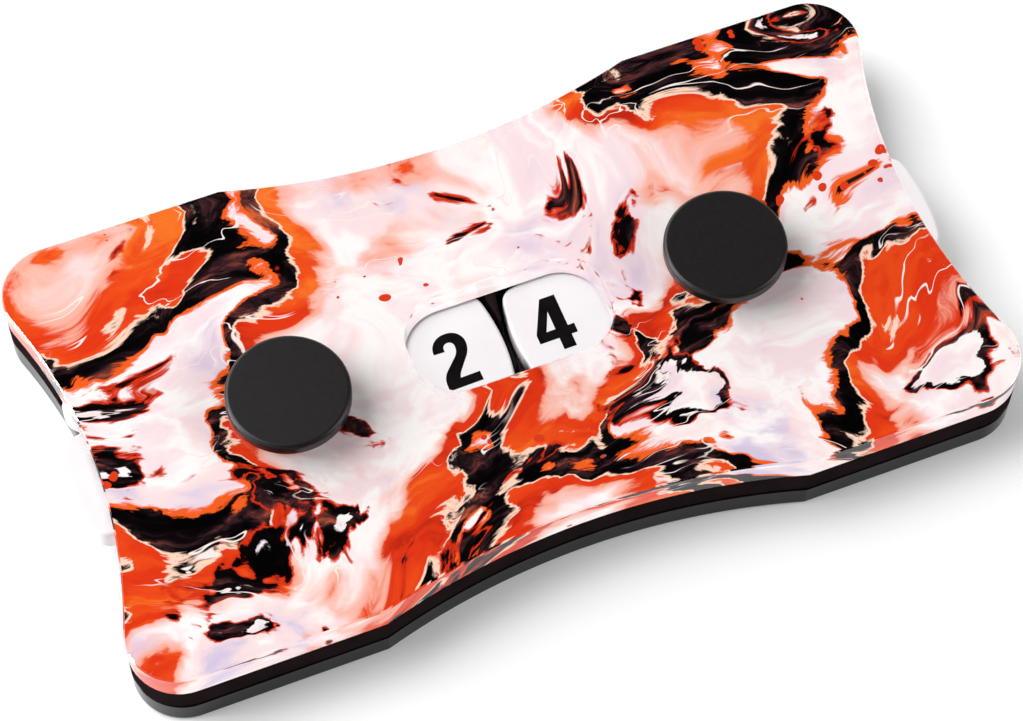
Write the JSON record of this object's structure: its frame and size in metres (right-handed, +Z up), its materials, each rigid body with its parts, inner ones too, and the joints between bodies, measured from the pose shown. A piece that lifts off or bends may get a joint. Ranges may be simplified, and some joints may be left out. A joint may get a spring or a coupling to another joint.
{
  "type": "life counter",
  "caption": "Flat pocket life counter with a concave-sided case of stacked sheets, a central window and two lobed number wheels turned by thumb at the short sides.",
  "frame": {"origin": "on the table under the middle of the counter", "axes": "+X along the length from the left wheel to the right wheel, +Y to the tops of the digits, +Z up out of the faceplate"},
  "size_m": [0.0884, 0.0472, 0.0104],
  "materials": {
    "black_sheet": "polished black acrylic sheet",
    "black_middle": "cut edge of black acrylic sheet",
    "print": "thin colour print",
    "clear_sheet": "clear acrylic sheet with polished edges",
    "white_wheel": "satin white acrylic with black sunk digits",
    "satin_black": "satin black moulded plastic",
    "black_screw": "black plastic screw"
  },
  "bodies": {
    "case": {"base_plate": "black_sheet", "front_spacer": "black_middle", "back_spacer": "black_middle", "printed_film": "print", "faceplate": "clear_sheet", "left_pivot_post": "satin_black", "right_pivot_post": "satin_black", "left_pivot_screw": "black_screw", "right_pivot_screw": "black_screw"},
    "left_wheel": {"left_wheel": "white_wheel"},
    "right_wheel": {"right_wheel": "white_wheel"}
  },
  "joints": [
    {"name": "left_wheel_turn", "type": "hinge", "parent": "case", "child": "left_wheel", "pos_m": [-0.0221, 0, 0], "axis": [0, 0, 1], "continuous": true},
    {"name": "right_wheel_turn", "type": "hinge", "parent": "case", "child": "right_wheel", "pos_m": [0.0221, 0, 0], "axis": [0, 0, 1], "continuous": true}
  ]
}
